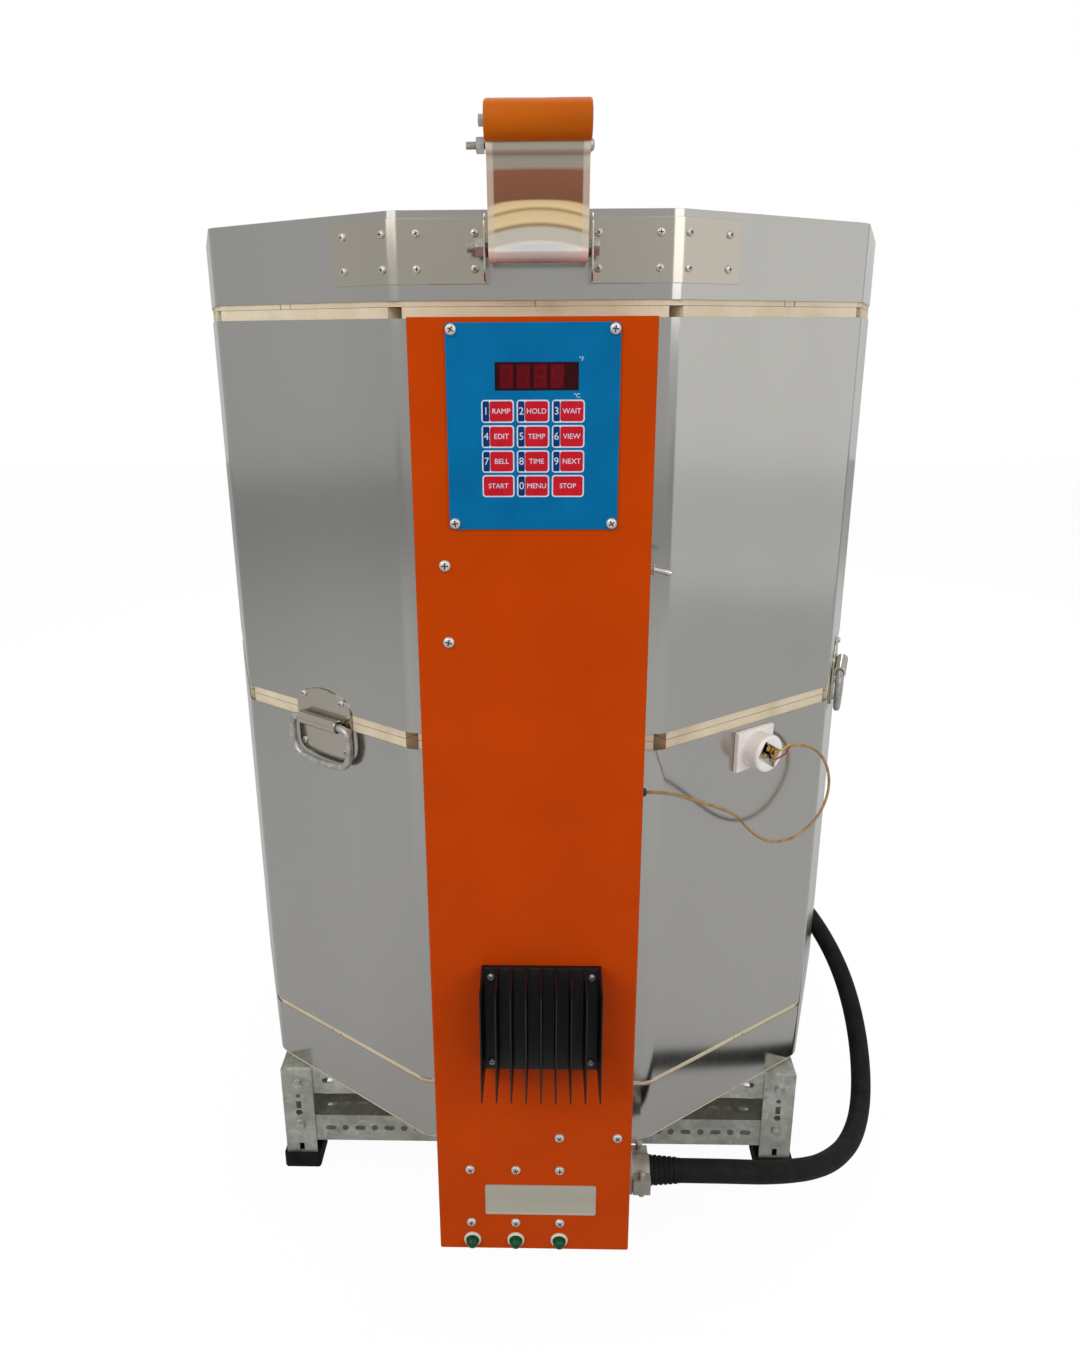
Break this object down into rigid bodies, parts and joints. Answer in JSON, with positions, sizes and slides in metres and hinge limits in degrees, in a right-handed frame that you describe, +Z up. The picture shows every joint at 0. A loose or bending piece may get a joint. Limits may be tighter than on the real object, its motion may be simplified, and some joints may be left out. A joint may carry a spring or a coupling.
{
  "type": "ceramic kiln",
  "caption": "Top-loading ten-sided electric ceramic kiln with a hinged lid, a front control box and a slotted-angle stand.",
  "frame": {"origin": "on the floor under the middle of the kiln's box, cords left out", "axes": "+Z up, -Y to the front where the control box is, +X to the right seen from the front"},
  "size_m": [0.8282, 0.9744, 1.1718],
  "materials": {
    "stainless": "mirror",
    "firebrick": "matte",
    "heating_wire": "satin",
    "galvanised": "satin",
    "zinc_bolts": "satin",
    "box_paint": "glossy",
    "controller_paint": "satin",
    "display": "glossy",
    "keys": "satin",
    "black_aluminium": "satin",
    "lamp_lens": "glossy",
    "lamp_bezel": "glossy",
    "black_plastic": "satin",
    "board": "satin",
    "switch_metal": "polished",
    "cast_zinc": "cast",
    "white_ceramic": "glazed",
    "brass": "satin",
    "braided_lead": "braided",
    "grip": "satin",
    "black_rubber": "matte"
  },
  "bodies": {
    "kiln": {"stand_legs": "galvanised", "stand_top_rails": "galvanised", "stand_lower_rails": "galvanised", "stand_bolts": "zinc_bolts", "rubber_feet": "black_rubber", "floor_slab": "firebrick", "floor_slab_band": "stainless", "lower_bricks": "firebrick", "upper_bricks": "firebrick", "lower_jacket": "stainless", "upper_jacket": "stainless", "lower_elements": "heating_wire", "upper_elements": "heating_wire", "element_pins": "heating_wire", "control_box_cover": "box_paint", "control_box_back": "galvanised", "controller_plate": "controller_paint", "display_window": "display", "keypad": "keys", "controller_screws": "zinc_bolts", "panel_screws": "zinc_bolts", "heat_sink": "black_aluminium", "heat_sink_screws": "zinc_bolts", "pilot_lamps": "lamp_lens", "pilot_bezels": "lamp_bezel", "solid_state_relays": "black_plastic", "transformer": "galvanised", "terminal_block": "black_plastic", "controller_board": "board", "switch_body": "switch_metal", "wire_bushing": "black_plastic", "cord_gland": "cast_zinc", "thermocouple_block": "white_ceramic", "thermocouple_terminals": "brass", "thermocouple_tube": "white_ceramic", "thermocouple_lead": "braided_lead", "handle_plates": "stainless", "handle_plate_screws": "zinc_bolts", "hinge_body_bracket": "stainless", "hinge_pin": "zinc_bolts", "cord_hook": "galvanised", "power_cord": "black_rubber", "plug_body": "black_rubber", "plug_blades": "brass"},
    "lid": {"lid_slab": "firebrick", "lid_band": "stainless", "lid_strap": "stainless", "lid_strap_screws": "zinc_bolts", "hinge_lid_bracket": "stainless", "handle_pivot_bolt": "zinc_bolts"},
    "lid_handle": {"handle_bracket": "stainless", "lid_grip": "grip", "grip_bolts": "zinc_bolts"},
    "bail_left": {"handle_bail_left": "zinc_bolts"},
    "bail_right": {"handle_bail_right": "zinc_bolts"},
    "bail_rear": {"handle_bail_rear": "zinc_bolts"},
    "switch_lever": {"switch_lever": "switch_metal"},
    "plug_lower": {"peephole_plug_lower": "white_ceramic"},
    "plug_upper": {"peephole_plug_upper": "white_ceramic"}
  },
  "joints": [
    {"name": "lid_hinge", "type": "hinge", "parent": "kiln", "child": "lid", "pos_m": [0, 0.4625, 1.0333], "axis": [-1, 0, 0], "range_deg": [0, 100]},
    {"name": "lid_handle_pivot", "type": "hinge", "parent": "lid", "child": "lid_handle", "pos_m": [0.0032, -0.3455, 1.07], "axis": [1, 0, 0], "range_deg": [0, 80]},
    {"name": "bail_left_swing", "type": "hinge", "parent": "kiln", "child": "bail_left", "pos_m": [-0.22518, -0.25093, 0.62025], "axis": [-0.809, 0.5878, 0], "range_deg": [0, 100]},
    {"name": "bail_right_swing", "type": "hinge", "parent": "kiln", "child": "bail_right", "pos_m": [0.36435, -0.05938, 0.62025], "axis": [-0.309, -0.9511, 0], "range_deg": [0, 100]},
    {"name": "bail_rear_swing", "type": "hinge", "parent": "kiln", "child": "bail_rear", "pos_m": [0, 0.4421, 0.62025], "axis": [1, 0, 0], "range_deg": [0, 100]},
    {"name": "switch_toggle", "type": "hinge", "parent": "kiln", "child": "switch_lever", "pos_m": [0.098, -0.373, 0.81], "axis": [0, -1, 0], "range_deg": [0, 24]},
    {"name": "plug_lower_pull", "type": "slide", "parent": "kiln", "child": "plug_lower", "axis": [-0.9511, 0.309, 0], "range_m": [0, 0.09]},
    {"name": "plug_upper_pull", "type": "slide", "parent": "kiln", "child": "plug_upper", "axis": [-0.9511, 0.309, 0], "range_m": [0, 0.09]}
  ]
}
